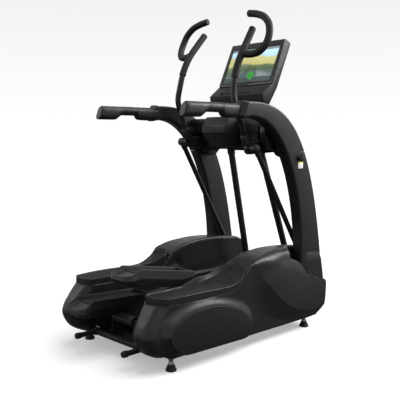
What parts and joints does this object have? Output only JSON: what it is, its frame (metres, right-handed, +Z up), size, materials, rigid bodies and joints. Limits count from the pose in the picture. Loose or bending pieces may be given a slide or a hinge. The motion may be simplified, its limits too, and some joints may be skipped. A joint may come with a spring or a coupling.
{
  "type": "elliptical trainer",
  "caption": "Elliptical trainer with side step platforms, arched towers, fixed handrails, swinging multi-grip handles, hanging foot beams and a tilted screen console.",
  "frame": {"origin": "on the floor, at the middle of the machine's footprint", "axes": "+X to the user's right, +Y forward towards the console, +Z up"},
  "size_m": [0.79, 1.3979, 1.7538],
  "materials": {
    "frame_steel": "satin black powder coat",
    "arm_steel": "satin dark graphite paint",
    "bright_steel": "brushed",
    "shell_plastic": "fine matte texture",
    "cover_plastic": "fine matte texture",
    "dark_rubber": "matte",
    "grip_foam": "soft matte",
    "console_plastic": "satin",
    "bezel_gloss": "gloss",
    "screen_glass": "lit display behind flat glass"
  },
  "bodies": {
    "chassis": {"base_frame": "frame_steel", "rear_crossbar": "frame_steel", "stub_caps": "dark_rubber", "floor_plate": "frame_steel", "roller_bracket": "bright_steel", "leveling_feet": "dark_rubber", "front_cover": "shell_plastic", "power_inlet": "cover_plastic", "side_shell_right": "shell_plastic", "side_shell_left": "shell_plastic", "side_panel_right": "shell_plastic", "side_panel_left": "shell_plastic", "step_cover_right": "cover_plastic", "step_cover_left": "cover_plastic", "step_mat_right": "dark_rubber", "step_mat_left": "dark_rubber", "tower_right": "cover_plastic", "tower_left": "cover_plastic", "tower_cap_right": "cover_plastic", "tower_cap_left": "cover_plastic", "tower_boots": "shell_plastic", "handrail_right": "cover_plastic", "handrail_left": "cover_plastic", "rail_grips": "grip_foam", "rail_end_caps": "cover_plastic", "crossbeam": "frame_steel", "shaft_housings": "arm_steel", "head_shaft": "bright_steel", "head_cover": "cover_plastic", "console_mast": "console_plastic", "console_shell": "console_plastic", "console_bezel": "bezel_gloss", "screen_panel": "screen_glass", "drive_belts": "dark_rubber"},
    "roller": {"rest_roller": "bright_steel"},
    "flywheel": {"flywheel": "bright_steel"},
    "knob_right": {"cap_knob_right": "cover_plastic"},
    "arm_right": {"swing_arm_right": "arm_steel", "handle_tube_right": "arm_steel", "handle_grip_right": "grip_foam", "loop_grip_right": "grip_foam"},
    "rod_right": {"pushrod_right": "arm_steel"},
    "lever_right": {"drive_lever_right": "bright_steel"},
    "yoke_right": {"beam_yoke_right": "bright_steel"},
    "beam_right": {"foot_beam_right": "arm_steel", "pedal_tray_right": "cover_plastic", "pedal_mat_right": "dark_rubber"},
    "knob_left": {"cap_knob_left": "cover_plastic"},
    "arm_left": {"swing_arm_left": "arm_steel", "handle_tube_left": "arm_steel", "handle_grip_left": "grip_foam", "loop_grip_left": "grip_foam"},
    "rod_left": {"pushrod_left": "arm_steel"},
    "lever_left": {"drive_lever_left": "bright_steel"},
    "yoke_left": {"beam_yoke_left": "bright_steel"},
    "beam_left": {"foot_beam_left": "arm_steel", "pedal_tray_left": "cover_plastic", "pedal_mat_left": "dark_rubber"}
  },
  "joints": [
    {"name": "right_swing", "type": "hinge", "parent": "chassis", "child": "arm_right", "pos_m": [0.112, 0.42, 1.037], "axis": [1, 0, 0], "range_deg": [-15.5, 6.5]},
    {"name": "left_swing", "type": "hinge", "parent": "chassis", "child": "arm_left", "pos_m": [-0.112, 0.42, 1.037], "axis": [1, 0, 0], "range_deg": [-6.5, 15.5]},
    {"name": "right_rod_hinge", "type": "hinge", "parent": "arm_right", "child": "rod_right", "pos_m": [0.284, 0.19654, 1.01075], "axis": [1, 0, 0], "range_deg": [-6, 13]},
    {"name": "left_rod_hinge", "type": "hinge", "parent": "arm_left", "child": "rod_left", "pos_m": [-0.284, 0.19518, 1.04603], "axis": [1, 0, 0], "range_deg": [-13, 6]},
    {"name": "right_lever_hinge", "type": "hinge", "parent": "chassis", "child": "lever_right", "pos_m": [0.25, 0.50579, 0.32588], "axis": [1, 0, 0], "range_deg": [-12, 28]},
    {"name": "left_lever_hinge", "type": "hinge", "parent": "chassis", "child": "lever_left", "pos_m": [-0.25, 0.50579, 0.32588], "axis": [1, 0, 0], "range_deg": [-28, 12]},
    {"name": "right_yoke_hinge", "type": "hinge", "parent": "arm_right", "child": "yoke_right", "pos_m": [0.112, 0.68613, 0.35617], "axis": [1, 0, 0], "range_deg": [-6, 14]},
    {"name": "left_yoke_hinge", "type": "hinge", "parent": "arm_left", "child": "yoke_left", "pos_m": [-0.112, 0.57635, 0.32292], "axis": [1, 0, 0], "range_deg": [-14, 6]},
    {"name": "right_lift", "type": "hinge", "parent": "yoke_right", "child": "beam_right", "pos_m": [0.112, 0.68613, 0.35617], "axis": [1, 0, 0], "range_deg": [0, 6.7]},
    {"name": "left_lift", "type": "hinge", "parent": "yoke_left", "child": "beam_left", "pos_m": [-0.112, 0.57635, 0.32292], "axis": [1, 0, 0], "range_deg": [-6.7, 0]},
    {"name": "roller_spin", "type": "hinge", "parent": "chassis", "child": "roller", "pos_m": [0, -0.446, 0.177], "axis": [1, 0, 0], "continuous": true},
    {"name": "flywheel_spin", "type": "hinge", "parent": "chassis", "child": "flywheel", "pos_m": [0, 0.56, 0.165], "axis": [1, 0, 0], "continuous": true},
    {"name": "right_knob_turn", "type": "hinge", "parent": "chassis", "child": "knob_right", "pos_m": [0.384, 0.448, 0.962], "axis": [1, 0, 0], "range_deg": [0, 90]},
    {"name": "left_knob_turn", "type": "hinge", "parent": "chassis", "child": "knob_left", "pos_m": [-0.384, 0.448, 0.962], "axis": [1, 0, 0], "range_deg": [-90, 0]}
  ],
  "couplings": [
    {"joint": "left_swing", "follows": "right_swing", "ratio": -1},
    {"joint": "right_rod_hinge", "follows": "right_swing", "ratio": -0.8},
    {"joint": "left_rod_hinge", "follows": "right_swing", "ratio": 0.8},
    {"joint": "right_lever_hinge", "follows": "right_swing", "ratio": -1.8},
    {"joint": "left_lever_hinge", "follows": "right_swing", "ratio": 1.8},
    {"joint": "right_yoke_hinge", "follows": "right_swing", "ratio": -0.86},
    {"joint": "left_yoke_hinge", "follows": "right_swing", "ratio": 0.86},
    {"joint": "left_lift", "follows": "right_lift", "ratio": -1}
  ]
}
